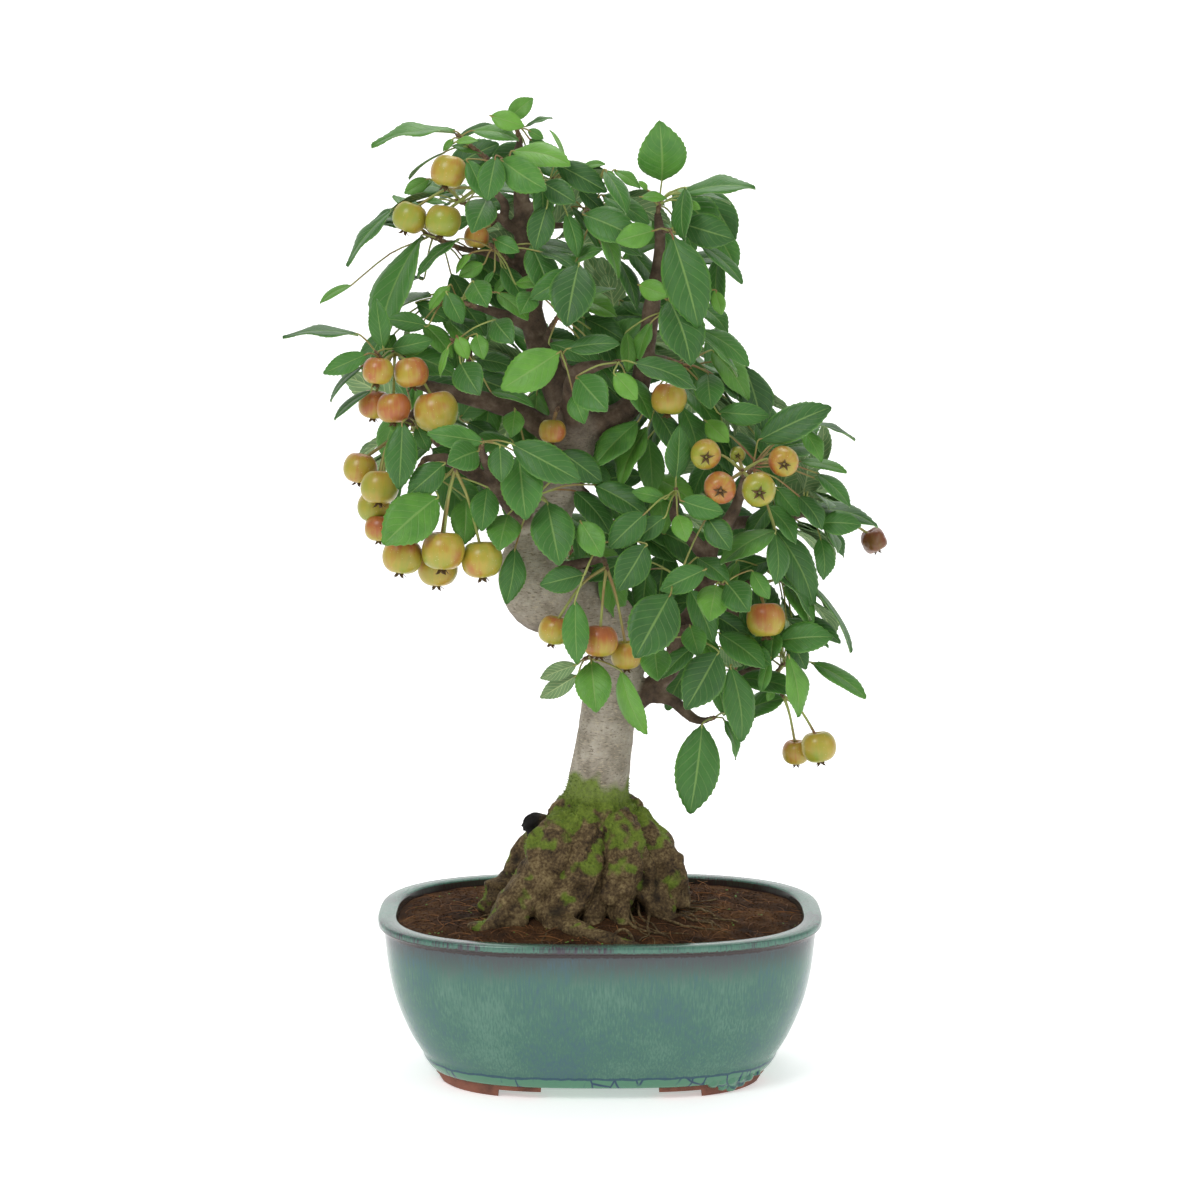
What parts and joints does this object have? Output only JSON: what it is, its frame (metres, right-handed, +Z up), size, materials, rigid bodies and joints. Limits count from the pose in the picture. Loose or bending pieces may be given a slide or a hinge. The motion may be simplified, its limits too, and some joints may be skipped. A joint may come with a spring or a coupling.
{
  "type": "bonsai tree in pot",
  "caption": "Crabapple bonsai with a bent trunk, leafy sprays and hanging fruit, growing in an oblong glazed pot that stands on low feet.",
  "frame": {"origin": "on the surface the pot stands on, under the middle of the whole tree and pot", "axes": "+Z up, +X to the right as seen from the front, -Y towards the front"},
  "size_m": [0.3395, 0.1779, 0.5531],
  "materials": {
    "glazed_pot": "glossy green-blue glaze, bare clay feet",
    "drain_screen": "moulded mesh",
    "soil": "granular potting soil",
    "bark": "smooth grey bark, dark and mossy at the roots",
    "fruit": "smooth waxy skin, yellow-green to red",
    "leaves": "satin leaf, pale underneath"
  },
  "bodies": {
    "root": {"drain_screen_left": "drain_screen", "drain_screen_right": "drain_screen", "fruit_bottom_right": "fruit", "fruit_centre": "fruit", "fruit_centre_right": "fruit", "fruit_inner": "fruit", "fruit_left": "fruit", "fruit_left_end": "fruit", "fruit_left_low": "fruit", "fruit_right": "fruit", "fruit_right_end": "fruit", "fruit_right_low": "fruit", "fruit_upper_inner": "fruit", "fruit_upper_left": "fruit", "pot": "glazed_pot", "soil": "soil", "spray_apex": "leaves", "spray_back_left": "leaves", "spray_back_left_inner": "leaves", "spray_back_low": "leaves", "spray_back_low_left": "leaves", "spray_back_middle": "leaves", "spray_back_middle_left": "leaves", "spray_back_right": "leaves", "spray_back_right_inner": "leaves", "spray_back_upper": "leaves", "spray_centre": "leaves", "spray_centre_high": "leaves", "spray_centre_low": "leaves", "spray_crown_front": "leaves", "spray_crown_right": "leaves", "spray_elbow": "leaves", "spray_far_left": "leaves", "spray_far_left_up": "leaves", "spray_front_left": "leaves", "spray_front_spur": "leaves", "spray_hanging": "leaves", "spray_left_front": "leaves", "spray_left_hanging": "leaves", "spray_left_high": "leaves", "spray_left_low": "leaves", "spray_left_shoulder": "leaves", "spray_right_bottom": "leaves", "spray_right_centre": "leaves", "spray_right_centre_low": "leaves", "spray_right_far": "leaves", "spray_right_far_low": "leaves", "spray_right_front": "leaves", "spray_right_inner": "leaves", "spray_right_low": "leaves", "spray_right_middle": "leaves", "spray_right_shoulder": "leaves", "spray_right_top": "leaves", "spray_right_top_front": "leaves", "spray_right_upper": "leaves", "spray_top_left": "leaves", "spray_upper_inner": "leaves", "spray_upper_left": "leaves", "spray_upper_right": "leaves", "trunk": "bark"}
  },
  "joints": []
}
